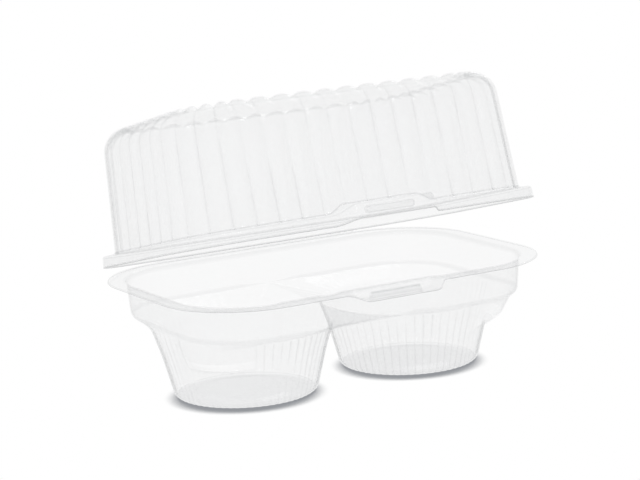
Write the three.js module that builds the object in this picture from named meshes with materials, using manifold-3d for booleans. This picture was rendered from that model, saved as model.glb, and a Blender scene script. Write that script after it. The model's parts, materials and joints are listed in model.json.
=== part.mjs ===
// Hinged clear box for two cupcakes, thermoformed from one plastic sheet.
// Millimetres, +Z up. X runs along the box, the hinge is at the back (+Y) and
// the latch tabs are at the front (-Y). The base stands on z = 0, and the origin
// is under the middle of the whole box with its lid at rest.
import * as THREE from "three";
import { mergeVertices } from "three/addons/utils/BufferGeometryUtils.js";
import Module from "manifold-3d";

const wasm = await Module();
wasm.setup();

// Sheet and outline, shared by the base and the lid
const SHEET = 0.45;
const LENGTH = 171;
const WIDTH = 115;
const CORNER_RADIUS = 36;

// Base
const RIM_HEIGHT = 46.8;
const FLANGE_WIDTH = 5.5;
const FLANGE_BEND = 2.5;
const FLANGE_LAND = 1.4;
const BASE_COLUMNS = 128;
const SHOULDER_DRAFT = 1.2;
const LEDGE_HEIGHT = 32;
const SADDLE_DIP = 2;
const SADDLE_STEPS = 12;

// Cups
const CUP_SPACING = 79.2;
const CUP_FOOT_RADIUS = 29;
const CUP_MOUTH_RADIUS = 36.6;
const CUP_DEPTH = 28;
const CUP_FLARE = 0.6;
const FOOT_CHAMFER = 1;
const PUNT_RADIUS = 19;
const PUNT_HEIGHT = 1.2;
const PUNT_SLOPE = 2;
const RIBS = 60;
const RIB_DEPTH = 0.6;

// Pockets that swell out of the cups at the outer front corners: heights are
// above the pocket's floor, and reaches are measured from the plain wall
const POCKET_TURN = 45;
const POCKET_SPREAD = 27;
const POCKET_FLOOR = 16;
const POCKET_STEP_HEIGHT = 1.6;
const POCKET_STEP_REACH = 3.2;
const POCKET_BREAST_HEIGHT = 4.5;
const POCKET_BREAST_REACH = 6.4;
const POCKET_MOUTH_REACH = 8;

// Lid: it overhangs the base at both ends, and the flutes' crests stand above
// its flat top panel
const LID_OVERHANG = 1.2;
const LID_HEIGHT = 56.1;
const SKIRT_HEIGHT = 4.9;
const SKIRT_DRAFT = 0.4;
const LEDGE_WIDTH = 5.1;
const LEDGE_RISE = 0.4;
const WALL_DRAFT = 2.3;
const TOP_RADIUS = 10.5;
const TOP_BEND_STEPS = 3;
const CROWN_WIDTH = 3.5;
const PANEL_DROP = 1.7;
const FLUTES = 48;
const FLUTE_COLUMNS = 4;
const FLUTE_DEPTH = 1.7;

// Hinge: the lid turns about the back edge of the two flanges
const HINGE_GAP = 0.35;
const REST_OPENING = 13.3;

// Latch: a tab on each flange at the front, a button on the base, a lock on the lid
const TAB_WIDTH = 47;
const TAB_RAMP = 7.9;
const TAB_REACH = 6;
const TAB_DROP = 2.2;
const LATCH_CLEARANCE = 0.8;
const LATCH_CENTRE = -2.8;
const LID_TAB_RISE = 1.7;
const LID_TAB_HEIGHT = 3.2;
const BUTTON_LENGTH = 25;
const BUTTON_WIDTH = 4.4;
const BUTTON_HEIGHT = 3;
const BUTTON_DRAFT = 0.5;
const BUTTON_SIDES = 16;
const LOCK_LENGTH = 23;
const LOCK_WIDTH = 3.2;
const LOCK_DEPTH = 1.3;

// Dents in the front shoulder of the base: a finger recess and a stacking lug
const RECESS_WIDTH = 54;
const RECESS_RAMP = 4;
const RECESS_DEPTH = 3;
const LUG_CENTRE = -40;
const LUG_WIDTH = 25;
const LUG_RAMP = 5;
const LUG_DEPTH = 2;

const HINGE_Y = WIDTH / 2;
const LID_REST_Z = RIM_HEIGHT + HINGE_GAP;
const SHOULDER_INSET = FLANGE_WIDTH + FLANGE_BEND;
const WALL_INSET = SKIRT_DRAFT + LEDGE_WIDTH;

// A plateau of height 1 centred on `centre`, with straight ramps at both ends
function plateau(x, centre, width, ramp) {
  const fromEdge = width / 2 - Math.abs(x - centre);
  return THREE.MathUtils.clamp(fromEdge / ramp, 0, 1);
}

// Columns round a rounded rectangle `length` long, evenly spaced where it is
// inset by `inset`.
// Each column has its point on the outline, its outward normal and its fraction
// of the way round; the first column is at the middle of the front, and a front
// column faces forward.
function outlineColumns(length, count, inset) {
  const halfX = length / 2 - CORNER_RADIUS;
  const halfY = WIDTH / 2 - CORNER_RADIUS;
  const radius = CORNER_RADIUS - inset;
  const arc = (Math.PI / 2) * radius;
  const total = 4 * (halfX + halfY + arc);
  const stretches = [
    { from: [0, -halfY], to: [halfX, -halfY], angle: -90 },
    { centre: [halfX, -halfY], angle: -90 },
    { from: [halfX, -halfY], to: [halfX, halfY], angle: 0 },
    { centre: [halfX, halfY], angle: 0 },
    { from: [halfX, halfY], to: [-halfX, halfY], angle: 90 },
    { centre: [-halfX, halfY], angle: 90 },
    { from: [-halfX, halfY], to: [-halfX, -halfY], angle: 180 },
    { centre: [-halfX, -halfY], angle: 180 },
    { from: [-halfX, -halfY], to: [0, -halfY], angle: 270 },
  ];
  const columns = [];
  for (let k = 0; k < count; k++) {
    const fraction = k / count;
    let along = fraction * total;
    for (const stretch of stretches) {
      const straight = stretch.from !== undefined;
      const span = straight
        ? Math.abs(stretch.to[0] - stretch.from[0]) + Math.abs(stretch.to[1] - stretch.from[1])
        : arc;
      if (along > span) {
        along -= span;
        continue;
      }
      const part = span > 0 ? along / span : 0;
      const turn = straight ? 0 : 90 * part;
      const angle = THREE.MathUtils.degToRad(stretch.angle + turn);
      const normal = [Math.cos(angle), Math.sin(angle)];
      const core = straight
        ? [0, 1].map((a) => stretch.from[a] + (stretch.to[a] - stretch.from[a]) * part)
        : stretch.centre;
      const x = core[0] + normal[0] * CORNER_RADIUS;
      const y = core[1] + normal[1] * CORNER_RADIUS;
      columns.push({ x, y, normal, fraction, front: normal[1] < 0 });
      break;
    }
  }
  return columns;
}

// Offset an (inset, z) profile by the sheet, to the side that `side` gives
function offsetProfile(profile, side) {
  const normals = [];
  for (let k = 0; k + 1 < profile.length; k++) {
    const du = profile[k + 1][0] - profile[k][0];
    const dz = profile[k + 1][1] - profile[k][1];
    const size = Math.hypot(du, dz);
    normals.push([(-dz / size) * side, (du / size) * side]);
  }
  return profile.map(([u, z], k) => {
    const a = normals[Math.max(k - 1, 0)];
    const b = normals[Math.min(k, normals.length - 1)];
    const mid = [a[0] + b[0], a[1] + b[1]];
    const scale = (2 * SHEET) / (mid[0] * mid[0] + mid[1] * mid[1]);
    return [u + mid[0] * scale, z + mid[1] * scale];
  });
}

function ringFromProfiles(columns, profiles, index, place) {
  return columns.map((column, k) => place(column, profiles[k][index]));
}

// Rings of points from one profile for each column
function ringsFromProfiles(columns, profiles, place) {
  const rings = [];
  for (let index = 0; index < profiles[0].length; index++) {
    rings.push(ringFromProfiles(columns, profiles, index, place));
  }
  return rings;
}

// Collects triangles; a flipped one has its face the other way round
class Skin {
  constructor() {
    this.points = [];
  }

  triangle(a, b, c, flip = false) {
    const order = flip ? [a, c, b] : [a, b, c];
    for (const point of order) {
      this.points.push(...point);
    }
  }

  // A band between two rings that run the same way round
  band(lower, upper, flip = false) {
    const count = lower.length;
    for (let k = 0; k < count; k++) {
      const next = (k + 1) % count;
      this.triangle(lower[k], lower[next], upper[next], flip);
      this.triangle(lower[k], upper[next], upper[k], flip);
    }
  }

  bands(rings, flip = false) {
    for (let k = 0; k + 1 < rings.length; k++) {
      this.band(rings[k], rings[k + 1], flip);
    }
  }

  // A panel inside a ring, as a fan about the point `centre`
  fan(ring, centre, flip = false) {
    ring.forEach((point, k) => {
      this.triangle(point, ring[(k + 1) % ring.length], centre, flip);
    });
  }

  // A panel between two rings with different numbers of points, which run the
  // same way round the point `centre`; the inner one starts at angle 0 about it
  zip(ring, inner, centre, flip = false) {
    const heading = ([x, y]) => Math.abs(Math.atan2(y - centre[1], x - centre[0]));
    const start = ring.reduce((best, point, k) => (heading(point) < heading(ring[best]) ? k : best), 0);
    const outer = [...ring.slice(start), ...ring.slice(0, start)];
    const angles = (loop) => {
      const turns = [];
      for (const [x, y] of [...loop, loop[0]]) {
        let angle = Math.atan2(y - centre[1], x - centre[0]);
        while (turns.length > 0 && angle < turns.at(-1) - 1e-6) {
          angle += 2 * Math.PI;
        }
        turns.push(angle);
      }
      return turns;
    };
    const [outerTurns, innerTurns] = [angles(outer), angles(inner)];
    let i = 0;
    let j = 0;
    while (i < outer.length || j < inner.length) {
      const stepOuter = j === inner.length || (i < outer.length && outerTurns[i + 1] <= innerTurns[j + 1]);
      const [a, b] = [outer[i % outer.length], inner[j % inner.length]];
      if (stepOuter) {
        i += 1;
        this.triangle(a, outer[i % outer.length], b, flip);
      } else {
        j += 1;
        this.triangle(a, inner[j % inner.length], b, flip);
      }
    }
  }

  geometry() {
    const geometry = new THREE.BufferGeometry();
    geometry.setAttribute("position", new THREE.Float32BufferAttribute(this.points, 3));
    return mergeVertices(geometry, 1e-4);
  }
}

function toSolid(geometry) {
  const merged = geometry.clone();
  merged.deleteAttribute("normal");
  merged.deleteAttribute("uv");
  const welded = mergeVertices(merged, 1e-4);
  return new wasm.Manifold(
    new wasm.Mesh({
      numProp: 3,
      vertProperties: new Float32Array(welded.attributes.position.array),
      triVerts: new Uint32Array(welded.index.array),
    }),
  );
}

function toGeometry(solid) {
  const mesh = solid.getMesh();
  const geometry = new THREE.BufferGeometry();
  geometry.setAttribute("position", new THREE.BufferAttribute(mesh.vertProperties.slice(), 3));
  geometry.setIndex(new THREE.BufferAttribute(mesh.triVerts.slice(), 1));
  return geometry;
}

// A stadium-shaped plug along X, with its sides drafted in towards its far end,
// standing on z = 0 and `height` tall
function plug(length, width, height, draft) {
  const skin = new Skin();
  const ring = (inset, z) => {
    const radius = width / 2 - inset;
    const points = [];
    for (let k = 0; k < 2 * BUTTON_SIDES; k++) {
      const right = k < BUTTON_SIDES;
      const step = (k % BUTTON_SIDES) / (BUTTON_SIDES - 1);
      const angle = -Math.PI / 2 + Math.PI * step + (right ? 0 : Math.PI);
      const centre = (right ? 1 : -1) * (length - width) / 2;
      points.push([centre + radius * Math.cos(angle), radius * Math.sin(angle), z]);
    }
    return points;
  };
  const foot = ring(0, 0);
  const crown = ring(draft, height);
  skin.band(foot, crown);
  skin.fan(foot, [0, 0, 0], true);
  skin.fan(crown, [0, 0, height]);
  return skin.geometry();
}

// Replace part of a sheet by a hollow bump: the plug's outside is joined on and
// its inside, one sheet smaller, is cut out
function addBump(sheet, length, width, height, draft, matrix) {
  const outside = plug(length, width, height, draft).applyMatrix4(matrix);
  const inner = plug(length - 2 * SHEET, width - 2 * SHEET, height, draft);
  inner.translate(0, 0, -SHEET);
  inner.applyMatrix4(matrix);
  return sheet.add(toSolid(outside)).subtract(toSolid(inner));
}

const placeOnOutline = (column, [inset, z]) => [
  column.x - column.normal[0] * inset,
  column.y - column.normal[1] * inset,
  z,
];

// Base: flange, shoulder, sloping ledge and two ribbed cups
function shoulderProfile(column) {
  const tab = column.front ? plateau(column.x, 0, TAB_WIDTH, TAB_RAMP) : 0;
  const recess = column.front ? plateau(column.x, 0, RECESS_WIDTH, RECESS_RAMP) : 0;
  const lug = column.front ? plateau(column.x, LUG_CENTRE, LUG_WIDTH, LUG_RAMP) : 0;
  const dent = RECESS_DEPTH * recess + LUG_DEPTH * lug;
  const bendMiddle = FLANGE_BEND * Math.SQRT1_2;
  return [
    [-TAB_REACH * tab, RIM_HEIGHT - TAB_DROP * tab],
    [FLANGE_LAND, RIM_HEIGHT - TAB_DROP * tab],
    [FLANGE_WIDTH + dent, RIM_HEIGHT],
    [FLANGE_WIDTH + bendMiddle + dent, RIM_HEIGHT - FLANGE_BEND + bendMiddle],
    [SHOULDER_INSET + dent, RIM_HEIGHT - FLANGE_BEND],
    [SHOULDER_INSET + SHOULDER_DRAFT + RECESS_DEPTH * recess, LEDGE_HEIGHT],
  ];
}

const ribColumns = Array.from({ length: 2 * RIBS }, (unused, k) => {
  const angle = (Math.PI * k) / RIBS;
  return { angle, rib: k % 2 === 0 ? RIB_DEPTH / 2 : -RIB_DEPTH / 2 };
});

const placeInCup = (centre) => (column, [radius, z]) => [
  centre + radius * Math.cos(column.angle),
  radius * Math.sin(column.angle),
  z,
];

// The plain wall's radius at a height: a cone that is slightly hollow halfway up
function wallRadius(z) {
  const part = z / CUP_DEPTH;
  const cone = CUP_FOOT_RADIUS + (CUP_MOUTH_RADIUS - CUP_FOOT_RADIUS) * part;
  return cone - 4 * CUP_FLARE * part * (1 - part);
}

// How much a column of the cup on `side` swells into its pocket: 1 at the middle
// of the pocket and 0 outside it
function pocketShare(column, side) {
  const middle = side > 0 ? -POCKET_TURN : POCKET_TURN - 180;
  const turn = THREE.MathUtils.radToDeg(column.angle) - middle;
  const off = THREE.MathUtils.euclideanModulo(turn + 180, 360) - 180;
  return Math.max(0, 1 - (off / POCKET_SPREAD) ** 2);
}

// (radius, z) from the mouth down the wall and in to the raised middle
function cupProfile(column, side) {
  const share = pocketShare(column, side);
  const swollen = (z, reach) => [wallRadius(z) + column.rib * (1 - share) + reach * share, z];
  return [
    swollen(CUP_DEPTH, POCKET_MOUTH_REACH),
    swollen(POCKET_FLOOR + POCKET_BREAST_HEIGHT, POCKET_BREAST_REACH),
    swollen(POCKET_FLOOR + POCKET_STEP_HEIGHT, POCKET_STEP_REACH),
    [wallRadius(POCKET_FLOOR) + column.rib, POCKET_FLOOR],
    [CUP_FOOT_RADIUS + column.rib, FOOT_CHAMFER + SHEET],
    [CUP_FOOT_RADIUS - FOOT_CHAMFER, SHEET],
    [PUNT_RADIUS + PUNT_SLOPE, SHEET],
    [PUNT_RADIUS, SHEET + PUNT_HEIGHT],
  ];
}

// The edge of one cup's half of the ledge: the shoulder's foot on that side, and
// the saddle between the cups, which dips from the ledge's height in the middle
function ledgeLoop(foot, side) {
  const count = foot.length;
  const saddle = [];
  const front = foot[0];
  const back = foot[count / 2];
  for (let k = 1; k < SADDLE_STEPS; k++) {
    const part = k / SADDLE_STEPS;
    const y = front[1] + (back[1] - front[1]) * part;
    const z = front[2] - SADDLE_DIP * Math.sin(Math.PI * part);
    saddle.push([0, y, z]);
  }
  const half = foot.slice(0, count / 2 + 1);
  const otherHalf = [...foot.slice(count / 2), front];
  return side > 0 ? [...half, ...saddle.toReversed()] : [...saddle, ...otherHalf];
}

function makeBase() {
  const skin = new Skin();
  const columns = outlineColumns(LENGTH, BASE_COLUMNS, 0);
  const upperProfiles = columns.map(shoulderProfile);
  const lowerProfiles = upperProfiles.map((profile) => offsetProfile(profile, -1));
  const upper = ringsFromProfiles(columns, upperProfiles, placeOnOutline);
  const lower = ringsFromProfiles(columns, lowerProfiles, placeOnOutline);
  skin.band(lower[0], upper[0]);
  skin.bands(upper);
  skin.bands(lower, true);
  for (const side of [-1, 1]) {
    const centre = (side * CUP_SPACING) / 2;
    const place = placeInCup(centre);
    const insideProfiles = ribColumns.map((column) => cupProfile(column, side));
    const outsideProfiles = insideProfiles.map((profile) => offsetProfile(profile, 1));
    const inside = ringsFromProfiles(ribColumns, insideProfiles, place);
    const outside = ringsFromProfiles(ribColumns, outsideProfiles, place);
    skin.bands(inside);
    skin.bands(outside, true);
    skin.fan(inside.at(-1), [centre, 0, inside.at(-1)[0][2]]);
    skin.fan(outside.at(-1), [centre, 0, outside.at(-1)[0][2]], true);
    skin.zip(ledgeLoop(upper.at(-1), side), inside[0], [centre, 0]);
    skin.zip(ledgeLoop(lower.at(-1), side), outside[0], [centre, 0], true);
  }
  const button = new THREE.Matrix4().makeTranslation(
    LATCH_CENTRE,
    -WIDTH / 2 - TAB_REACH / 2,
    RIM_HEIGHT - TAB_DROP - SHEET / 2,
  );
  return addBump(toSolid(skin.geometry()), BUTTON_LENGTH, BUTTON_WIDTH, BUTTON_HEIGHT, BUTTON_DRAFT, button);
}

// Lid, in its own frame: z = 0 is the lower edge of its skirt
function lidProfile(column) {
  const tab = column.front ? plateau(column.x, 0, TAB_WIDTH + 2 * LATCH_CLEARANCE, TAB_RAMP) : 0;
  const flute = Math.abs(Math.cos(Math.PI * FLUTES * column.fraction));
  const groove = FLUTE_DEPTH * (1 - flute);
  const foot = SKIRT_HEIGHT + LEDGE_RISE + LID_TAB_HEIGHT * tab;
  const topInset = WALL_INSET + WALL_DRAFT;
  const bendHeight = LID_HEIGHT - TOP_RADIUS;
  const profile = [
    [-(TAB_REACH + LATCH_CLEARANCE) * tab, LID_TAB_RISE * tab],
    [SKIRT_DRAFT - TAB_REACH * tab, SKIRT_HEIGHT + LID_TAB_HEIGHT * tab],
    [WALL_INSET + groove, foot],
    [topInset + groove, bendHeight],
  ];
  for (let k = 1; k <= TOP_BEND_STEPS; k++) {
    const turn = ((Math.PI / 2) * k) / TOP_BEND_STEPS;
    const radius = TOP_RADIUS - groove;
    profile.push([topInset + TOP_RADIUS - radius * Math.cos(turn), bendHeight + radius * Math.sin(turn)]);
  }
  profile.push([topInset + TOP_RADIUS + CROWN_WIDTH, LID_HEIGHT - PANEL_DROP]);
  return profile;
}

function makeLid() {
  const skin = new Skin();
  const columns = outlineColumns(LENGTH + 2 * LID_OVERHANG, FLUTES * FLUTE_COLUMNS, WALL_INSET);
  const outerProfiles = columns.map(lidProfile);
  const innerProfiles = outerProfiles.map((profile) => offsetProfile(profile, -1));
  const outer = ringsFromProfiles(columns, outerProfiles, placeOnOutline);
  const inner = ringsFromProfiles(columns, innerProfiles, placeOnOutline);
  skin.band(inner[0], outer[0]);
  skin.bands(outer);
  skin.bands(inner, true);
  skin.fan(outer.at(-1), [0, 0, outer.at(-1)[0][2]]);
  skin.fan(inner.at(-1), [0, 0, inner.at(-1)[0][2]], true);
  const frontY = -WIDTH / 2 - TAB_REACH;
  const lockZ = LID_TAB_RISE + (SKIRT_HEIGHT + LID_TAB_HEIGHT - LID_TAB_RISE) / 2;
  const lock = new THREE.Matrix4()
    .makeTranslation(LATCH_CENTRE, frontY + SHEET, lockZ)
    .multiply(new THREE.Matrix4().makeRotationX(Math.PI / 2));
  return addBump(toSolid(skin.geometry()), LOCK_LENGTH, LOCK_WIDTH, LOCK_DEPTH, SHEET, lock);
}

// Clear, nearly colourless plastic
function clearPlastic() {
  return new THREE.MeshStandardMaterial({
    color: 0xf2f6f7,
    roughness: 0.08,
    metalness: 0,
    transparent: true,
    opacity: 0.35,
    side: THREE.DoubleSide,
  });
}

const group = new THREE.Group();

const base = new THREE.Mesh(toGeometry(makeBase()), clearPlastic());
base.name = "base_tray";
group.add(base);

const lidHinge = new THREE.Group();
lidHinge.position.set(0, HINGE_Y, LID_REST_Z);
lidHinge.rotation.x = THREE.MathUtils.degToRad(-REST_OPENING);
group.add(lidHinge);

const lid = new THREE.Mesh(toGeometry(makeLid()), clearPlastic());
lid.name = "lid";
lid.position.set(0, -HINGE_Y, 0);
lidHinge.add(lid);

const bounds = new THREE.Box3().setFromObject(group, true);
const middle = bounds.getCenter(new THREE.Vector3());
group.position.set(-middle.x, -middle.y, -bounds.min.z);

export default group;
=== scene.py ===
# %% [markdown]
# # A clear hinged box for two cupcakes
#
# The real box is one sheet of clear plastic, heated and drawn over a mould, then folded at the
# back. Everything that the eye reads on it comes from the form: ribs, flutes, steps and bends
# darken the light that passes through the sheet at a slant. So this lesson spends its effort on
# clean, dense sheets of even thickness, and on one clear material that grows darker where the
# sheet is seen edge on.

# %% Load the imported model, the fixed frame of everything below
import json
import math

import bmesh
import bpy
import numpy as np
from mathutils import Matrix, Vector


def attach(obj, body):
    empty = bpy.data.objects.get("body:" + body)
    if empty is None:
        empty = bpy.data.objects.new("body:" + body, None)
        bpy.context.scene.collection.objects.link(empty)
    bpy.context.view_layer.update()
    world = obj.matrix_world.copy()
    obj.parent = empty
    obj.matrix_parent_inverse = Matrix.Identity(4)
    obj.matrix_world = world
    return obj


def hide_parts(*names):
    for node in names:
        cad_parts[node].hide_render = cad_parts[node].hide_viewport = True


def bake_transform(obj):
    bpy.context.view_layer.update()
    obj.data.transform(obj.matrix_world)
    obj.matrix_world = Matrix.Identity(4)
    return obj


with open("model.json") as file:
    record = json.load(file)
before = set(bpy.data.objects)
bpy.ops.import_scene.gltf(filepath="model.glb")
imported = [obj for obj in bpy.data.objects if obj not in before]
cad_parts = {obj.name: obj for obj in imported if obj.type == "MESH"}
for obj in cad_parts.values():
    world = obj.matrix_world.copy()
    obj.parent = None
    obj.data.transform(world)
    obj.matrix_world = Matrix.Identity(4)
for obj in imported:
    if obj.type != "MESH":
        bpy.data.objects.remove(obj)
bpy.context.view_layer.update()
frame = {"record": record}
MM = 0.001
hinge = frame["record"]["behaviour"]["joints"][0]
hinge_point = np.array(hinge["pos_m"]) / MM
rest_opening = math.radians(-hinge["range_deg"][0])
print("hinge at", hinge_point, "mm, lid open by", round(math.degrees(rest_opening), 2), "degrees")

# %% [markdown]
# ## The sizes of the moulded sheet
#
# A thermoformed sheet keeps nearly the same thickness all over, so it is enough to describe one
# side of it and then give it a thickness. The sizes are in millimetres and belong to the box in
# its own frame: X along the box, the latch at the front (-Y) and the crease at the back.

# %% Sizes that the base and the lid share
SHEET = 0.45
LENGTH = 171.0
WIDTH = 115.0
CORNER_RADIUS = 36.0
RIM_HEIGHT = 46.8
shift_y = hinge_point[1] - WIDTH / 2
to_row = Matrix.Translation((0, shift_y * MM, 0)) @ Matrix.Scale(MM, 4)
print("the box's own middle lies", round(shift_y, 3), "mm from the row's origin along Y")

# %% Sizes of the base
FLANGE_WIDTH = 5.5
FLANGE_BEND = 2.5
FLANGE_LAND = 1.4
FLANGE_LIP = 0.5
FLANGE_LIP_BEND = 0.3
SHOULDER_DRAFT = 1.2
LEDGE_HEIGHT = 32.0
LEDGE_BEND = 1.6
LEDGE_STEPS = 8
SADDLE_FADE = 0.2
SADDLE_DIP = 2.0
CUP_SPACING = 79.2
CUP_FOOT_RADIUS = 29.0
CUP_MOUTH_RADIUS = 36.6
CUP_DEPTH = 28.0
CUP_FLARE = 0.6
FOOT_CHAMFER = 1.0
PUNT_RADIUS = 19.0
PUNT_SLOPE = 3.5
PUNT_HEIGHT = 1.2
RIBS = 60
RIB_DEPTH = 0.6
RIB_COLUMNS = 6
RIB_LINE_COLUMNS = 1.2

# %% Sizes of the pockets at the outer front corners of the cups
POCKET_TURN = 45.0
POCKET_SPREAD = 27.0
POCKET_FLOOR = 16.0
POCKET_STEP = 17.6
POCKET_BREAST = 20.5
POCKET_REACHES = (8.0, 6.4, 3.2)
# Painted highlight: the pocket's upper wall is made clearer, standing in for a lamp's reflection on it.
POCKET_PAINTED_HIGHLIGHT = 0.3

# %% Sizes of the lid
LID_OVERHANG = 1.2
LID_HEIGHT = 56.1
SKIRT_HEIGHT = 4.9
SKIRT_DRAFT = 0.4
LEDGE_WIDTH = 5.1
LEDGE_RISE = 0.4
WALL_DRAFT = 2.3
TOP_RADIUS = 10.5
CROWN_WIDTH = 3.5
PANEL_DROP = 1.7
CROWN_MARK = 0.15
CROWN_MARK_TURN = math.radians(78)
FLUTES = 48
FLUTE_DEPTH = 1.7
FLUTE_COLUMNS = 14
FLUTE_LINE_COLUMNS = 1.3
FLUTE_FIRST_ROW = 10
FLUTE_LAST_ROWS = 12
SKIRT_LIP = 0.5
SKIRT_LIP_DRAFT = (0.03, 0.05)
CROWN_STEPS = 11
PANEL_SHARES = (0.9, 0.7, 0.4, 0.1)

# %% Sizes of the latch, and of the dents in the front shoulder
TAB_WIDTH = 47.0
TAB_RAMP = 7.9
TAB_REACH = 6.0
TAB_DROP = 2.2
LATCH_CLEARANCE = 0.8
LATCH_CENTRE = -2.8
LID_TAB_RISE = 1.7
LID_TAB_HEIGHT = 3.2
BUTTON_LENGTH = 25.0
BUTTON_WIDTH = 4.4
BUTTON_HEIGHT = 3.0
BUTTON_DRAFT = 1.2
BUTTON_BEND = 1.6
LOCK_LENGTH = 23.0
LOCK_WIDTH = 3.2
LOCK_DEPTH = 1.3
LOCK_DRAFT = 0.3
LOCK_BEND = 0.5
RECESS_WIDTH = 54.0
RECESS_RAMP = 8.0
RECESS_DEPTH = 3.0
LUG_CENTRE = -40.0
LUG_WIDTH = 25.0
LUG_RAMP = 5.0
LUG_DEPTH = 2.0

SHOULDER_INSET = FLANGE_WIDTH + FLANGE_BEND
LEDGE_INSET = SHOULDER_INSET + SHOULDER_DRAFT
WALL_INSET = SKIRT_DRAFT + LEDGE_WIDTH


# %% [markdown]
# ## Small tools for drawn sheets
#
# Each sheet is a stack of rings, one above the other, with the same number of points. A few
# guide rings fix the form, and every corner between them is rounded with a short curve, as the
# sheet does over the mould's edge. This keeps the code close to how a toolmaker thinks: sizes,
# steps and bend radii.

# %% Plateaus with soft ends, for tabs and dents
def plateau(x, centre, width, ramp):
    part = np.clip((width / 2 - np.abs(x - centre)) / ramp, 0, 1)
    return part * part * (3 - 2 * part)


def round_corner(before, corner, after, reach, steps):
    """Rings that round the corner between three guide rings, starting `reach` away from it."""
    way_in = corner - before
    way_out = after - corner
    size_in = np.linalg.norm(way_in, axis=1)[:, None]
    size_out = np.linalg.norm(way_out, axis=1)[:, None]
    start = corner - way_in * np.minimum(reach / np.maximum(size_in, 1e-9), 0.45)
    end = corner + way_out * np.minimum(reach / np.maximum(size_out, 1e-9), 0.45)
    rings = []
    for part in np.linspace(0, 1, steps + 1):
        rings.append((1 - part) ** 2 * start + 2 * part * (1 - part) * corner + part**2 * end)
    return rings


def drawn_rings(guides):
    """Rings and their fold marks along (ring, bend reach, steps, mark) guides.

    No steps keep a sharp corner. A rounded corner carries its mark on its middle rings.
    """
    rings, marks = [], []
    for k, (ring, reach, steps, mark) in enumerate(guides):
        if k in (0, len(guides) - 1) or steps == 0:
            rings.append(ring)
            marks.append(mark)
        else:
            rings += round_corner(guides[k - 1][0], ring, guides[k + 1][0], reach, steps)
            marks += [mark * math.sin(math.pi * j / steps) for j in range(steps + 1)]
    return rings, marks


print("a plateau of 10 mm rises to", plateau(np.array([0.0]), 0, 10, 2)[0])


# %% Meshes from grids of points
INSIDE_MARK = 0.1


def grid_faces(index, wrap, flip):
    """Quads between neighbours in a table of vertex numbers, where -1 means no vertex."""
    rows, columns = index.shape
    faces = []
    for row in range(rows - 1):
        for column in range(columns if wrap else columns - 1):
            after = (column + 1) % columns
            quad = (index[row, column], index[row, after], index[row + 1, after], index[row + 1, column])
            if min(quad) >= 0:
                faces.append(quad[::-1] if flip else quad)
    return faces


def new_mesh_object(name, points, faces, matrix, folds=None, ribs=None):
    mesh = bpy.data.meshes.new(name)
    mesh.from_pydata([tuple(point) for point in points], [], [tuple(map(int, face)) for face in faces])
    for mark_name, values in (("fold", folds), ("rib", ribs)):
        marks = mesh.attributes.new(mark_name, "FLOAT", "POINT")
        if values is not None:
            marks.data.foreach_set("value", np.asarray(values, dtype=np.float32))
    work = bmesh.new()
    work.from_mesh(mesh)
    bmesh.ops.remove_doubles(work, verts=work.verts, dist=1e-4)
    bmesh.ops.dissolve_degenerate(work, edges=work.edges, dist=1e-5)
    work.transform(matrix)
    work.to_mesh(mesh)
    work.free()
    mesh.validate()
    piece = bpy.data.objects.new(name, mesh)
    bpy.context.scene.collection.objects.link(piece)
    return piece


def give_thickness(piece, thickness=SHEET, drawn_inside=False):
    """Grow the sheet behind its drawn side, close its edge, and keep the result as the mesh."""
    drawn = len(piece.data.vertices)
    solid = piece.modifiers.new("sheet", "SOLIDIFY")
    solid.thickness = thickness * MM
    solid.offset = -1
    solid.use_even_offset = True
    solid.use_rim = True
    graph = bpy.context.evaluated_depsgraph_get()
    mesh = bpy.data.meshes.new_from_object(piece.evaluated_get(graph))
    piece.modifiers.clear()
    piece.data = mesh
    mesh.shade_smooth()
    marks = np.zeros(len(mesh.vertices), dtype=np.float32)
    mesh.attributes["rib"].data.foreach_get("value", marks)
    inside = slice(0, drawn) if drawn_inside else slice(drawn, None)
    marks[inside] *= INSIDE_MARK
    mesh.attributes["rib"].data.foreach_set("value", marks)
    print(piece.name, "has", len(mesh.polygons), "faces")
    return piece


# %% [markdown]
# ## The base
#
# Round cups sit in a rounded rectangle, so no single family of rings fits both. The way out is
# to look outwards from each cup's axis: every direction meets either the rim of the tray or the
# low saddle between the cups. Columns of points run down those directions, from the flange over
# the shoulder and ledge into the cup. The two halves share the points on the saddle.

# %% Where a direction from a cup's axis meets the edge of the ledge
def ledge_edge(angles, inset):
    """Points on the ledge's outer edge, and its normals, for directions from the right cup's axis."""
    half_x, half_y, radius = LENGTH / 2 - inset, WIDTH / 2 - inset, CORNER_RADIUS - inset
    start = np.array([CUP_SPACING / 2, 0.0])
    points, normals = [], []
    for angle in angles:
        way = np.array([math.cos(angle), math.sin(angle)])
        reach_x = (half_x - start[0]) / way[0] if way[0] > 1e-9 else math.inf
        reach_y = half_y / abs(way[1]) if abs(way[1]) > 1e-9 else math.inf
        point = start + way * min(reach_x, reach_y)
        normal = np.array([1.0, 0.0]) if reach_x < reach_y else np.array([0.0, math.copysign(1, way[1])])
        core = np.array([half_x - radius, math.copysign(half_y - radius, way[1])])
        if point[0] > core[0] and abs(point[1]) > abs(core[1]):
            away = start - core
            along = way @ away
            reach = -along + math.sqrt(along**2 - away @ away + radius**2)
            point = start + way * reach
            normal = (point - core) / radius
        points.append(point)
        normals.append(normal)
    return np.array(points), np.array(normals)


junction_turn = math.atan2(WIDTH / 2 - LEDGE_INSET, -CUP_SPACING / 2)
print("the saddle starts", round(math.degrees(junction_turn), 1), "degrees round from the box's end")


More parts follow.
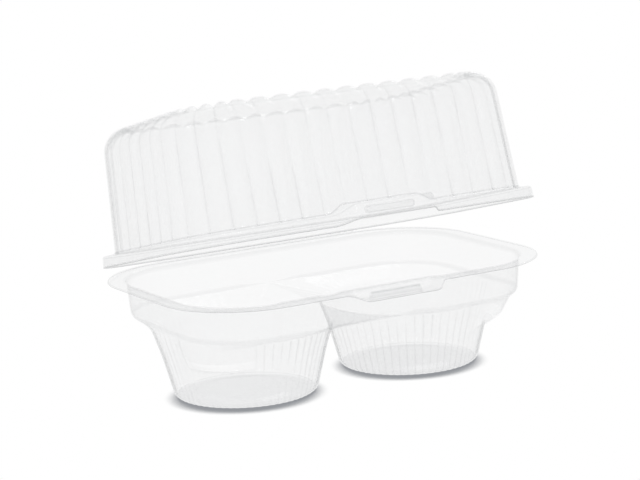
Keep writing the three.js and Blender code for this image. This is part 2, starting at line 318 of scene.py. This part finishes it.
# %% Columns round one cup, with one column exactly where the saddle starts
def cup_columns():
    step = 2 * math.pi / (RIBS * RIB_COLUMNS)
    turns = np.arange(RIBS * RIB_COLUMNS) * step
    turns = np.where(turns > math.pi, turns - 2 * math.pi, turns)
    turns = np.sort(turns)
    for target in (junction_turn, -junction_turn):
        turns[np.argmin(np.abs(turns - target))] = target
    outline = turns[np.abs(turns) <= junction_turn + 1e-9]
    saddle_back = turns[turns > junction_turn + 1e-9]
    saddle_front = turns[turns < -junction_turn - 1e-9]
    return outline, np.concatenate([saddle_back, saddle_front])


outline_turns, saddle_turns = cup_columns()
print(len(outline_turns), "columns reach the rim and", len(saddle_turns), "the saddle")


# %% The cup's own rings: ribs, and a pocket at the outer front corner
def cup_radius(z):
    """The plain wall's radius: nearly straight, with a slight flare near the mouth."""
    part = z / CUP_DEPTH
    straight = CUP_FOOT_RADIUS + (CUP_MOUTH_RADIUS - CUP_FOOT_RADIUS) * part
    return straight - CUP_FLARE * 4 * part * (1 - part)


def pocket(turns):
    off = np.degrees(turns) + POCKET_TURN
    return np.clip(1 - (off / POCKET_SPREAD) ** 2, 0, 1)


def cup_ring(turns, radius, z, swell=0.0, rib_share=1.0):
    bulge = pocket(turns)
    fold = 2 * np.abs(((turns * RIBS / (2 * math.pi)) % 1) * 2 - 1) - 1
    rib = RIB_DEPTH / 2 * fold * rib_share * (1 - bulge if swell else 1)
    size = radius + rib + swell * bulge
    return np.column_stack([
        CUP_SPACING / 2 + size * np.cos(turns), size * np.sin(turns), np.full(len(turns), z)
    ])


def cup_guides(turns):
    top, breast, step = POCKET_REACHES
    foot = FOOT_CHAMFER + SHEET
    return [
        (cup_ring(turns, CUP_MOUTH_RADIUS, CUP_DEPTH, top), 1.0, 4, 0.0),
        (cup_ring(turns, cup_radius(POCKET_BREAST), POCKET_BREAST, breast), 1.6, 3, 0.0),
        (cup_ring(turns, cup_radius(POCKET_STEP), POCKET_STEP, step), 0.8, 2, 0.0),
        (cup_ring(turns, cup_radius(POCKET_FLOOR), POCKET_FLOOR), 0.5, 2, 0.0),
        (cup_ring(turns, cup_radius(8.0), 8.0), 0, 0, 0.0),
        (cup_ring(turns, CUP_FOOT_RADIUS, foot), 0.5, 2, 0.0),
        (cup_ring(turns, CUP_FOOT_RADIUS - FOOT_CHAMFER, SHEET, rib_share=0.5), 0.5, 2, 0.3),
        (cup_ring(turns, PUNT_RADIUS + PUNT_SLOPE, SHEET, rib_share=0), 0.7, 3, 0.0),
        (cup_ring(turns, PUNT_RADIUS, SHEET + PUNT_HEIGHT, rib_share=0), 1.0, 3, 0.0),
        (cup_ring(turns, PUNT_RADIUS / 2, SHEET + PUNT_HEIGHT, rib_share=0), 0, 0, 0.0),
        (cup_ring(turns, 1.0, SHEET + PUNT_HEIGHT, rib_share=0), 0, 0, 0.0),
    ]


# %% The rings outside the cup: flange, shoulder and ledge
def saddle_distance(turns):
    """0 where the saddle starts, rising to 1 a little way from it, so that bends die out there."""
    return np.clip(np.abs(junction_turn - np.abs(turns)) / SADDLE_FADE, 0, 1)


def rim_guides(turns, side):
    points, normals = ledge_edge(turns, LEDGE_INSET)
    x = points[:, 0] * side
    front = normals[:, 1] < 0
    tab = plateau(x, 0, TAB_WIDTH, TAB_RAMP) * front
    recess = plateau(x, 0, RECESS_WIDTH, RECESS_RAMP) * front
    lug = plateau(x, LUG_CENTRE, LUG_WIDTH, LUG_RAMP) * front
    dent = RECESS_DEPTH * recess + LUG_DEPTH * lug
    tab_z = RIM_HEIGHT - TAB_DROP * tab

    def ring(inset, z):
        move = LEDGE_INSET - inset
        return np.column_stack([points + normals * np.broadcast_to(move, len(x))[:, None],
                                np.broadcast_to(z, len(x))])

    fold = LEDGE_BEND * saddle_distance(turns)[:, None]
    return [
        (ring(-TAB_REACH * tab, tab_z - FLANGE_LIP), 0, 0, 1.0),
        (ring(FLANGE_LIP_BEND - TAB_REACH * tab, tab_z), 0.4, 3, 0.6),
        (ring(FLANGE_LAND, tab_z), 0.8, 3, 0.0),
        (ring(FLANGE_WIDTH * 0.75 + dent * 0.5, np.full(len(x), RIM_HEIGHT)), 0.8, 2, 0.0),
        (ring(SHOULDER_INSET + dent, RIM_HEIGHT), FLANGE_BEND, 8, 0.3),
        (ring(SHOULDER_INSET + SHOULDER_DRAFT * 0.5 + dent, 39.0), 2.0, 2, 0.0),
        (ring(LEDGE_INSET + RECESS_DEPTH * recess, LEDGE_HEIGHT), fold, LEDGE_STEPS, 0.25),
    ]


# %% One half of the base, and both halves as one sheet
WALL_GUIDES = 7
POCKET_GUIDES = 3


def half_base(side):
    """Points, faces, fold marks and rib marks of the base's right (1) or left (-1) half."""
    rim = rim_guides(outline_turns, side)
    cups = cup_guides(outline_turns)
    outline_rings, outline_marks = drawn_rings(rim + cups)

    reach = (CUP_SPACING / 2) / -np.cos(saddle_turns)
    y = reach * np.sin(saddle_turns)
    half_y = WIDTH / 2 - LEDGE_INSET
    dip = SADDLE_DIP * np.cos(0.5 * math.pi * y / half_y)
    # The front recess draws the saddle in with it, or the sheet would fold over itself there.
    y = np.where(y < 0, y * (1 - RECESS_DEPTH / half_y), y)
    saddle = np.column_stack([np.zeros(len(y)), y, LEDGE_HEIGHT - dip])
    inner = cup_guides(saddle_turns)
    mirrored = inner[0][0] * np.array([-1, 1, 1])
    bend = LEDGE_BEND * saddle_distance(saddle_turns)[:, None]
    fold_rings = round_corner(mirrored, saddle, inner[0][0], bend, LEDGE_STEPS)[LEDGE_STEPS // 2:]
    inner_rings, inner_marks = drawn_rings([(saddle, 0, 0, 0.0)] + inner)
    saddle_rings = fold_rings + inner_rings[1:]
    saddle_marks = [0.0] * len(fold_rings) + inner_marks[1:]

    missing = len(outline_rings) - len(saddle_rings)
    wall_rows = len(drawn_rings(cups[:WALL_GUIDES])[0])
    first = len(outline_rings) - len(drawn_rings(cups)[0])
    pocket_first, pocket_last = first + 2, first + len(drawn_rings(cups[:POCKET_GUIDES])[0])
    turns = np.concatenate([outline_turns, saddle_turns])
    along = (turns * RIBS / (2 * math.pi)) % 1
    line = np.clip(1 - np.abs(along - 0.5) * RIB_COLUMNS / RIB_LINE_COLUMNS, 0, 1)
    line *= 1 - pocket(turns) ** 0.3
    index = np.full((len(outline_rings), len(turns)), -1)
    points, folds, ribs = [], [], []
    for row, (ring, mark) in enumerate(zip(outline_rings, outline_marks)):
        in_wall = first <= row < first + wall_rows
        index[row, : len(outline_turns)] = len(points) + np.arange(len(outline_turns))
        points += list(ring)
        # Painted highlight: the pocket's upper rows get less cover, standing in for a lamp's reflection
        # there.
        painted_highlight = POCKET_PAINTED_HIGHLIGHT * pocket(outline_turns) * (pocket_first <= row < pocket_last)
        in_bend = first - LEDGE_STEPS - 1 <= row < first
        folds += list(mark * (saddle_distance(outline_turns) if in_bend else 1) - painted_highlight)
        ribs += list(line[: len(outline_turns)] * in_wall)
        if row >= missing:
            index[row, len(outline_turns):] = len(points) + np.arange(len(saddle_turns))
            points += list(saddle_rings[row - missing])
            folds += [saddle_marks[row - missing]] * len(saddle_turns)
            ribs += list(line[len(outline_turns):] * in_wall)
    points = np.array(points) * np.array([side, 1, 1])
    faces = grid_faces(index, True, side < 0)
    last = index[-1]
    faces.append(tuple(last[::-1] if side < 0 else last))
    return points, faces, folds, ribs


def make_base():
    points, faces, folds, ribs = half_base(1)
    left_points, left_faces, left_folds, left_ribs = half_base(-1)
    faces += [tuple(i + len(points) for i in face) for face in left_faces]
    points = np.vstack([points, left_points])
    return new_mesh_object("base_sheet", points, faces, to_row, folds + left_folds, ribs + left_ribs)


base_sheet = give_thickness(make_base(), drawn_inside=True)
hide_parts("base_tray")
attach(base_sheet, "base")

# %% [markdown]
# ## The lid
#
# The lid is simpler: one family of rings fits it all. Its wall is a row of round flutes that meet
# in sharp valleys. They run over the top bend and die out on the flat top, which gives the
# scalloped edge. It is drawn closed and then turned open about the crease.

# %% The lid's outline, evenly stepped along the foot of its wall
def lid_columns(count):
    half = np.array([LENGTH / 2 + LID_OVERHANG - CORNER_RADIUS, WIDTH / 2 - CORNER_RADIUS])
    radius = CORNER_RADIUS - WALL_INSET
    arc = math.pi / 2 * radius
    spans = [half[0], arc, 2 * half[1], arc, 2 * half[0], arc, 2 * half[1], arc, half[0]]
    starts = np.concatenate([[0], np.cumsum(spans)])
    corners = [(1, -1), (1, 1), (-1, 1), (-1, -1)]
    points, normals = [], []
    for share in np.arange(count) / count:
        walk = share * starts[-1]
        stretch = int(np.searchsorted(starts, walk, side="right")) - 1
        along = (walk - starts[stretch]) / spans[stretch]
        if stretch % 2:
            turn = math.radians(-90 + 45 * (stretch - 1) + 90 * along)
            core = half * corners[stretch // 2]
        else:
            turn = math.radians(-90 + 45 * stretch)
            first = half * corners[stretch // 2 - 1] if stretch else np.array([0, -half[1]])
            last = half * corners[stretch // 2] if stretch < 8 else np.array([0, -half[1]])
            core = first + (last - first) * along
        normal = np.array([math.cos(turn), math.sin(turn)])
        points.append(core + normal * CORNER_RADIUS)
        normals.append(normal)
    return np.array(points), np.array(normals), np.arange(count) / count


lid_points, lid_normals, lid_shares = lid_columns(FLUTES * FLUTE_COLUMNS)
print(len(lid_points), "columns round the lid")


# %% The lid's rings, from the lower edge of the skirt to the middle of the top
def make_lid():
    x = lid_points[:, 0]
    front = (lid_points[:, 1] < 0) & (lid_normals[:, 1] < -0.99)
    tab = plateau(x, 0, TAB_WIDTH + 2 * LATCH_CLEARANCE, TAB_RAMP) * front
    groove = FLUTE_DEPTH * (1 - np.abs(np.cos(math.pi * FLUTES * lid_shares)))

    def ring(inset, z):
        return np.column_stack([
            lid_points - lid_normals * np.broadcast_to(inset, len(x))[:, None],
            np.broadcast_to(z, len(x)),
        ])

    top_inset = WALL_INSET + WALL_DRAFT
    bend_height = LID_HEIGHT - TOP_RADIUS
    foot = SKIRT_HEIGHT + LEDGE_RISE + LID_TAB_HEIGHT * tab
    lip = (TAB_REACH + LATCH_CLEARANCE) * tab
    guides = [
        (ring(-lip, LID_TAB_RISE * tab), 0, 0, 1.0),
        (ring(SKIRT_LIP_DRAFT[0] - lip, LID_TAB_RISE * tab + SKIRT_LIP), 0, 0, 0.6),
        (ring(SKIRT_LIP_DRAFT[1] - lip, LID_TAB_RISE * tab + 2 * SKIRT_LIP), 0, 0, 0.0),
        (ring(SKIRT_DRAFT - TAB_REACH * tab, SKIRT_HEIGHT + LID_TAB_HEIGHT * tab), 0.9, 5, 0.3),
        (ring(WALL_INSET + groove, foot), 0.9, 5, 0.6),
        (ring(top_inset - WALL_DRAFT * 0.5 + groove, (foot + bend_height) / 2), 0, 0, 0.0),
        (ring(top_inset + groove, bend_height), 0, 0, 0.0),
    ]
    for turn in np.linspace(0, math.pi / 2, CROWN_STEPS)[1:]:
        radius = TOP_RADIUS - groove
        inset = top_inset + TOP_RADIUS - radius * math.cos(turn)
        mark = CROWN_MARK if turn > CROWN_MARK_TURN else 0.0
        guides.append((ring(inset, bend_height + radius * math.sin(turn)), 0, 0, mark))
    panel = ring(top_inset + TOP_RADIUS + CROWN_WIDTH, LID_HEIGHT - PANEL_DROP)
    guides.append((panel, 1.2, 4, 0.15))
    for share in PANEL_SHARES:
        guides.append((panel * np.array([share, share, 1]), 0, 0, 0.0))
    rings, marks = drawn_rings(guides)
    count = len(x)
    index = np.arange(len(rings) * count).reshape(len(rings), count)
    faces = grid_faces(index, True, False)
    faces.append(tuple(index[-1]))
    along = (FLUTES * lid_shares) % 1
    line = np.clip(1 - np.abs(along - 0.5) * FLUTE_COLUMNS / FLUTE_LINE_COLUMNS, 0, 1)
    rows = np.arange(len(rings))
    in_wall = (rows >= FLUTE_FIRST_ROW) & (rows < len(rings) - FLUTE_LAST_ROWS)
    ribs = line * in_wall[:, None]
    folds = np.repeat(marks, count)
    return new_mesh_object("lid_sheet", np.vstack(rings), faces, lid_to_row, folds, ribs.ravel())


turned = Matrix.Rotation(-rest_opening, 4, "X")
lid_to_row = (
    Matrix.Translation(Vector(hinge_point) * MM) @ turned @ Matrix.Scale(MM, 4)
    @ Matrix.Translation((0, -WIDTH / 2, 0))
)
lid_sheet = give_thickness(make_lid())
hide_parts("lid")
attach(lid_sheet, "lid")

# %% [markdown]
# ## The latch
#
# The base has a long raised button on its tab, and the lid a shallow lock that it snaps into.
# Both are the same kind of form, a stadium with rounded edges, open at its foot. Each is a small
# sheet of its own here, seated on the tab, because its edges need far finer points than the tab.

# %% A stadium-shaped bump, open at its foot
def stadium_ring(length, width, inset, z, steps=24):
    radius = width / 2 - inset
    right = np.linspace(-math.pi / 2, math.pi / 2, steps)
    turns = np.concatenate([right, right + math.pi])
    centres = np.concatenate([np.ones(steps), -np.ones(steps)]) * (length - width) / 2
    return np.column_stack([
        centres + radius * np.cos(turns), radius * np.sin(turns), np.full(2 * steps, z)
    ])


BUMP_FOOT = 0.5
BUMP_FOOT_DRAFT = 0.1
BUMP_STEPS = 6
BUMP_MARK = 0.4
BUMP_TOP_SHARE = 0.46


def make_bump(name, length, width, height, draft, bend, matrix):
    guides = [
        (stadium_ring(length, width, 0, 0), 0, 0, BUMP_MARK),
        (stadium_ring(length, width, BUMP_FOOT_DRAFT, BUMP_FOOT), 0, 0, 0.0),
        (stadium_ring(length, width, draft, height), bend, BUMP_STEPS, BUMP_MARK),
        (stadium_ring(length, width, width * BUMP_TOP_SHARE, height), 0, 0, 0.0),
    ]
    rings, marks = drawn_rings(guides)
    count = len(rings[0])
    index = np.arange(len(rings) * count).reshape(len(rings), count)
    faces = grid_faces(index, True, False)
    faces.append(tuple(index[-1]))
    folds = np.repeat(marks, count)
    return give_thickness(new_mesh_object(name, np.vstack(rings), faces, matrix, folds))


button_y = -WIDTH / 2 - TAB_REACH / 2
button_z = RIM_HEIGHT - TAB_DROP - SHEET / 2
button_seat = Matrix.Translation((LATCH_CENTRE, button_y, button_z))
latch_button = make_bump(
    "latch_button", BUTTON_LENGTH, BUTTON_WIDTH, BUTTON_HEIGHT, BUTTON_DRAFT, BUTTON_BEND,
    to_row @ button_seat,
)
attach(latch_button, "base")

lock_z = LID_TAB_RISE + (SKIRT_HEIGHT + LID_TAB_HEIGHT - LID_TAB_RISE) / 2
lock_y = -WIDTH / 2 - TAB_REACH + SHEET
upright = Matrix.Rotation(math.pi / 2, 4, "X")
lock_seat = Matrix.Translation((LATCH_CENTRE, lock_y, lock_z)) @ upright
lid_lock = make_bump(
    "lid_lock", LOCK_LENGTH, LOCK_WIDTH, LOCK_DEPTH, LOCK_DRAFT, LOCK_BEND,
    lid_to_row @ lock_seat,
)
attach(lid_lock, "lid")

# %% [markdown]
# ## The crease
#
# At the back the flange of the base and the skirt of the lid are one sheet, pressed thin along a
# line so that it folds. A narrow strip bridges the two edges. It is attached to neither body.

# %% A narrow strip along the straight back of the box
CREASE_BULGE = 0.5
CREASE_SHEET = 0.2


def make_crease():
    half = LENGTH / 2 - CORNER_RADIUS
    low = RIM_HEIGHT - FLANGE_LIP * 0.5
    high = hinge_point[2] + 0.3
    x = np.linspace(-half, half, 60)
    rings = []
    for part in np.linspace(0, 1, 9):
        y = WIDTH / 2 + CREASE_BULGE * math.sin(math.pi * part)
        z = low + (high - low) * part
        rings.append(np.column_stack([x, np.full(len(x), y), np.full(len(x), z)]))
    index = np.arange(len(rings) * len(x)).reshape(len(rings), len(x))
    return new_mesh_object("crease", np.vstack(rings), grid_faces(index, False, True), to_row)


crease = give_thickness(make_crease(), CREASE_SHEET)
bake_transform(crease)

# %% [markdown]
# ## The clear sheet
#
# Clear plastic hardly has a colour of its own. What draws its edges is the longer way that light
# takes through the sheet where it is seen at a slant, so the tint follows the facing of the
# surface. A node group adds what a new sheet really has: a faint haze and shallow ripples
# from the mould.

# %% A node group for the haze and ripples of a drawn sheet
HAZE_RANGE = (0.35, 0.65)
STREAK_RANGE = (0.38, 0.62)
STREAK_LEAST = 0.1


def make_sheet_group():
    group = bpy.data.node_groups.new("drawn_sheet", "ShaderNodeTree")
    for name, default in (("Haze Scale", 60.0), ("Ripple Scale", 220.0), ("Low", 0.02), ("High", 0.06)):
        socket = group.interface.new_socket(name, in_out="INPUT", socket_type="NodeSocketFloat")
        socket.default_value = default
    group.interface.new_socket("Roughness", in_out="OUTPUT", socket_type="NodeSocketFloat")
    group.interface.new_socket("Height", in_out="OUTPUT", socket_type="NodeSocketFloat")
    group.interface.new_socket("Streak", in_out="OUTPUT", socket_type="NodeSocketFloat")
    nodes, links = group.nodes, group.links
    inputs = nodes.new("NodeGroupInput")
    outputs = nodes.new("NodeGroupOutput")
    place = nodes.new("ShaderNodeTexCoord")
    haze = nodes.new("ShaderNodeTexNoise")
    ripple = nodes.new("ShaderNodeTexNoise")
    spread = nodes.new("ShaderNodeMapRange")
    spread.inputs["From Min"].default_value = HAZE_RANGE[0]
    spread.inputs["From Max"].default_value = HAZE_RANGE[1]
    for noise, scale in ((haze, "Haze Scale"), (ripple, "Ripple Scale")):
        noise.inputs["Detail"].default_value = 2.0
        links.new(place.outputs["Object"], noise.inputs["Vector"])
        links.new(inputs.outputs[scale], noise.inputs["Scale"])
    links.new(haze.outputs["Fac"], spread.inputs["Value"])
    links.new(inputs.outputs["Low"], spread.inputs["To Min"])
    links.new(inputs.outputs["High"], spread.inputs["To Max"])
    links.new(spread.outputs["Result"], outputs.inputs["Roughness"])
    links.new(ripple.outputs["Fac"], outputs.inputs["Height"])
    streak = nodes.new("ShaderNodeMapRange")
    streak.inputs["From Min"].default_value = STREAK_RANGE[0]
    streak.inputs["From Max"].default_value = STREAK_RANGE[1]
    streak.inputs["To Min"].default_value = STREAK_LEAST
    links.new(haze.outputs["Fac"], streak.inputs["Value"])
    links.new(streak.outputs["Result"], outputs.inputs["Streak"])
    return group


sheet_group = make_sheet_group()
print("group outputs:", [s.name for s in sheet_group.interface.items_tree if s.in_out == "OUTPUT"])


# %% How the two halves look: the lid's sheet is a little hazier than the base's
EDGE_SHARPNESS = 6.0
EDGE_COLOUR = (0.42, 0.43, 0.44)
RIPPLE_STRENGTH = 0.3
RIPPLE_DEPTH = 0.1
BASE_LOOK = {
    "face": (0.76, 0.77, 0.78), "face_cover": 0.145, "edge_cover": 0.6,
    "fold_cover": 0.45, "rib_strength": 0.38,
}
LID_LOOK = {
    "face": (0.72, 0.73, 0.74), "face_cover": 0.16, "edge_cover": 0.36,
    "fold_cover": 0.4, "rib_strength": 0.42,
}
BASE_MOULD = {"Haze Scale": 60.0, "Ripple Scale": 220.0, "Low": 0.02, "High": 0.06}
LID_MOULD = {"Haze Scale": 42.0, "Ripple Scale": 170.0, "Low": 0.03, "High": 0.08}
print("cover seen face on: base", BASE_LOOK["face_cover"], "lid", LID_LOOK["face_cover"])


# %% One clear material, thin at the face and denser at the edge and along the folds
def make_clear(name, look, mould):
    material = bpy.data.materials.new(name)
    material.use_nodes = True
    nodes, links = material.node_tree.nodes, material.node_tree.links
    nodes.clear()
    output = nodes.new("ShaderNodeOutputMaterial")
    plastic = nodes.new("ShaderNodeBsdfPrincipled")
    plastic.inputs["IOR"].default_value = 1.5
    sheet = nodes.new("ShaderNodeGroup")
    sheet.node_tree = sheet_group
    for socket, value in mould.items():
        sheet.inputs[socket].default_value = value
    slant = nodes.new("ShaderNodeLayerWeight")
    slant.inputs["Blend"].default_value = 0.5
    grazing = nodes.new("ShaderNodeMath")
    grazing.operation = "POWER"
    grazing.inputs[1].default_value = EDGE_SHARPNESS
    fold = nodes.new("ShaderNodeAttribute")
    fold.attribute_name = "fold"
    rib = nodes.new("ShaderNodeAttribute")
    rib.attribute_name = "rib"
    streaked = nodes.new("ShaderNodeMath")
    streaked.operation = "MULTIPLY"
    fold_mark = nodes.new("ShaderNodeMath")
    fold_mark.operation = "MULTIPLY_ADD"
    fold_mark.inputs[1].default_value = look["rib_strength"]
    density = nodes.new("ShaderNodeMath")
    density.operation = "MAXIMUM"
    cover = nodes.new("ShaderNodeMapRange")
    cover.inputs["To Min"].default_value = look["face_cover"]
    cover.inputs["To Max"].default_value = look["edge_cover"]
    folded = nodes.new("ShaderNodeMath")
    folded.operation = "MULTIPLY_ADD"
    folded.inputs[1].default_value = look["fold_cover"]
    folded.use_clamp = True
    tint = nodes.new("ShaderNodeMix")
    tint.data_type = "RGBA"
    tint.inputs["A"].default_value = (*look["face"], 1)
    tint.inputs["B"].default_value = (*EDGE_COLOUR, 1)
    bump = nodes.new("ShaderNodeBump")
    bump.inputs["Strength"].default_value = RIPPLE_STRENGTH
    bump.inputs["Distance"].default_value = RIPPLE_DEPTH * MM
    links.new(slant.outputs["Facing"], grazing.inputs[0])
    links.new(rib.outputs["Fac"], streaked.inputs[0])
    links.new(sheet.outputs["Streak"], streaked.inputs[1])
    links.new(streaked.outputs["Value"], fold_mark.inputs[0])
    links.new(fold.outputs["Fac"], fold_mark.inputs[2])
    links.new(grazing.outputs["Value"], density.inputs[0])
    links.new(fold_mark.outputs["Value"], density.inputs[1])
    links.new(grazing.outputs["Value"], cover.inputs["Value"])
    links.new(fold_mark.outputs["Value"], folded.inputs[0])
    links.new(cover.outputs["Result"], folded.inputs[2])
    links.new(density.outputs["Value"], tint.inputs["Factor"])
    links.new(tint.outputs["Result"], plastic.inputs["Base Color"])
    skin = nodes.new("ShaderNodeNewGeometry")
    front = nodes.new("ShaderNodeMath")
    front.operation = "SUBTRACT"
    front.inputs[0].default_value = 1.0
    near = nodes.new("ShaderNodeMath")
    near.operation = "MULTIPLY"
    links.new(skin.outputs["Backfacing"], front.inputs[1])
    links.new(front.outputs["Value"], near.inputs[0])
    links.new(folded.outputs["Value"], near.inputs[1])
    links.new(near.outputs["Value"], plastic.inputs["Alpha"])
    links.new(sheet.outputs["Roughness"], plastic.inputs["Roughness"])
    links.new(sheet.outputs["Height"], bump.inputs["Height"])
    links.new(bump.outputs["Normal"], plastic.inputs["Normal"])
    links.new(plastic.outputs["BSDF"], output.inputs["Surface"])
    return material


clear_base = make_clear("clear_sheet_base", BASE_LOOK, BASE_MOULD)
clear_lid = make_clear("clear_sheet_lid", LID_LOOK, LID_MOULD)
for piece in (base_sheet, latch_button, crease):
    piece.data.materials.append(clear_base)
for piece in (lid_sheet, lid_lock):
    piece.data.materials.append(clear_lid)
print("materials:", clear_base.name, clear_lid.name)

# %% [markdown]
# ## Floor, light and camera
#
# A clear object shows what is behind it, so the background is white for every ray that reaches
# it through the sheet, and the lamps stay at a plain level.

# %% A pale floor that keeps a soft contact shadow
FLOOR_SIZE = 12.0
FLOOR_DROP = 0.0002
SHADE_LEAN = (0.38, 0.66, 0.65)
SHADE_THROUGH_SHEET = 0.14
SHADE_DISTANCE = 0.010
SHADE_RANGE = (0.40, 0.72)
SHADE_COLOUR = (0.30, 0.31, 0.33, 1)
FLOOR_COLOUR = (0.86, 0.86, 0.86, 1)


def make_floor():
    bpy.ops.mesh.primitive_plane_add(size=FLOOR_SIZE, location=(0, 0, -FLOOR_DROP))
    floor = bpy.context.object
    floor.name = "floor"
    material = bpy.data.materials.new("pale_floor")
    material.use_nodes = True
    nodes, links = material.node_tree.nodes, material.node_tree.links
    nodes.clear()
    output = nodes.new("ShaderNodeOutputMaterial")
    matte = nodes.new("ShaderNodeBsdfDiffuse")
    matte.inputs["Color"].default_value = FLOOR_COLOUR
    glow = nodes.new("ShaderNodeEmission")
    glow.inputs["Strength"].default_value = 1.0
    path = nodes.new("ShaderNodeLightPath")
    either = nodes.new("ShaderNodeMath")
    either.operation = "MAXIMUM"
    any_ray = nodes.new("ShaderNodeMath")
    any_ray.operation = "MAXIMUM"
    mix = nodes.new("ShaderNodeMixShader")
    occlusion = nodes.new("ShaderNodeAmbientOcclusion")
    occlusion.inputs["Distance"].default_value = SHADE_DISTANCE
    occlusion.samples = 16
    tilt = nodes.new("ShaderNodeCombineXYZ")
    for axis, value in enumerate(SHADE_LEAN):
        tilt.inputs[axis].default_value = value
    links.new(tilt.outputs["Vector"], occlusion.inputs["Normal"])
    ramp = nodes.new("ShaderNodeValToRGB")
    ramp.color_ramp.elements[0].position = SHADE_RANGE[0]
    ramp.color_ramp.elements[0].color = SHADE_COLOUR
    ramp.color_ramp.elements[1].position = SHADE_RANGE[1]
    ramp.color_ramp.elements[1].color = (1, 1, 1, 1)
    camera_shade = nodes.new("ShaderNodeMix")
    camera_shade.data_type = "RGBA"
    soft_shade = nodes.new("ShaderNodeMix")
    soft_shade.data_type = "RGBA"
    soft_shade.inputs["Factor"].default_value = SHADE_THROUGH_SHEET
    soft_shade.inputs["A"].default_value = (1, 1, 1, 1)
    links.new(ramp.outputs["Color"], soft_shade.inputs["B"])
    links.new(soft_shade.outputs["Result"], camera_shade.inputs["A"])
    links.new(occlusion.outputs["AO"], ramp.inputs["Fac"])
    direct = nodes.new("ShaderNodeMath")
    direct.operation = "LESS_THAN"
    direct.inputs[1].default_value = 0.5
    links.new(path.outputs["Transparent Depth"], direct.inputs[0])
    links.new(direct.outputs["Value"], camera_shade.inputs["Factor"])
    links.new(ramp.outputs["Color"], camera_shade.inputs["B"])
    links.new(camera_shade.outputs["Result"], glow.inputs["Color"])
    links.new(path.outputs["Is Camera Ray"], either.inputs[0])
    links.new(path.outputs["Is Glossy Ray"], either.inputs[1])
    links.new(either.outputs["Value"], any_ray.inputs[0])
    links.new(path.outputs["Is Transmission Ray"], any_ray.inputs[1])
    links.new(any_ray.outputs["Value"], mix.inputs["Fac"])
    links.new(matte.outputs["BSDF"], mix.inputs[1])
    links.new(glow.outputs["Emission"], mix.inputs[2])
    links.new(mix.outputs["Shader"], output.inputs["Surface"])
    floor.data.materials.append(material)


make_floor()

# %% The world: white behind the box, softer as a light
WORLD_AS_LIGHT = 0.6
world = bpy.data.worlds.new("studio")
bpy.context.scene.world = world
world.use_nodes = True
world_nodes, world_links = world.node_tree.nodes, world.node_tree.links
world_nodes.clear()
world_output = world_nodes.new("ShaderNodeOutputWorld")
sky = world_nodes.new("ShaderNodeBackground")
sky.inputs["Color"].default_value = (1, 1, 1, 1)
sky.inputs["Strength"].default_value = 1.0
seen = world_nodes.new("ShaderNodeLightPath")
plain = world_nodes.new("ShaderNodeMapRange")
plain.inputs["To Min"].default_value = WORLD_AS_LIGHT
plain.inputs["To Max"].default_value = 1.0
either = world_nodes.new("ShaderNodeMath")
either.operation = "MAXIMUM"
world_links.new(seen.outputs["Is Camera Ray"], either.inputs[0])
world_links.new(seen.outputs["Is Glossy Ray"], either.inputs[1])
world_links.new(either.outputs["Value"], plain.inputs["Value"])
world_links.new(plain.outputs["Result"], sky.inputs["Strength"])
world_links.new(sky.outputs["Background"], world_output.inputs["Surface"])


# %% Two soft lamps
KEY_POWER = 4
FILL_POWER = 3
LAMP_AIM = (0, 0, 0.05)


def add_lamp(name, place, aim, size, power):
    data = bpy.data.lights.new(name, "AREA")
    data.shape = "RECTANGLE"
    data.size, data.size_y = size
    data.energy = power
    lamp = bpy.data.objects.new(name, data)
    bpy.context.scene.collection.objects.link(lamp)
    lamp.location = place
    lamp.rotation_euler = (Vector(aim) - Vector(place)).to_track_quat("-Z", "Y").to_euler()
    print(name, "gives", power, "W")


add_lamp("key_lamp", (-0.55, -0.75, 0.75), LAMP_AIM, (0.5, 0.35), KEY_POWER)
add_lamp("fill_lamp", (0.7, 0.5, 0.9), LAMP_AIM, (0.6, 0.6), FILL_POWER)

# %% The camera, at the angle and distance fitted to the photograph
CAMERA_AZIMUTH = -29.92
CAMERA_ELEVATION = 10.77
CAMERA_ROLL = -2.96
CAMERA_DISTANCE = 936.35
CAMERA_AIM = (-1.88, 17.23)
CAMERA_AIM_HEIGHT = 40.0
FOCAL_PIXELS = 2245.0
IMAGE_WIDTH = 640
azimuth, elevation, roll = map(math.radians, (CAMERA_AZIMUTH, CAMERA_ELEVATION, CAMERA_ROLL))
back = Vector((
    math.sin(azimuth) * math.cos(elevation),
    -math.cos(azimuth) * math.cos(elevation),
    math.sin(elevation),
))
level_right = Vector((math.cos(azimuth), math.sin(azimuth), 0))
level_up = back.cross(level_right)
right = math.cos(roll) * level_right + math.sin(roll) * level_up
up = -math.sin(roll) * level_right + math.cos(roll) * level_up
target = CAMERA_AIM[0] * right + CAMERA_AIM[1] * up + Vector((0, 0, CAMERA_AIM_HEIGHT))
camera_data = bpy.data.cameras.new("camera")
camera_data.sensor_width = 36.0
camera_data.lens = FOCAL_PIXELS / IMAGE_WIDTH * camera_data.sensor_width
camera = bpy.data.objects.new("camera", camera_data)
bpy.context.scene.collection.objects.link(camera)
place = to_row @ (target + back * CAMERA_DISTANCE)
camera.matrix_world = Matrix.Translation(place) @ Matrix((right, up, back)).transposed().to_4x4()
bpy.context.scene.camera = camera
print("camera at", [round(v, 3) for v in place])

# %% [markdown]
# ## Last settings
#
# The colours go out as they are written.

# %% View settings and the end
bpy.context.scene.view_settings.view_transform = "Standard"
bpy.context.scene.cycles.transparent_max_bounces = 64
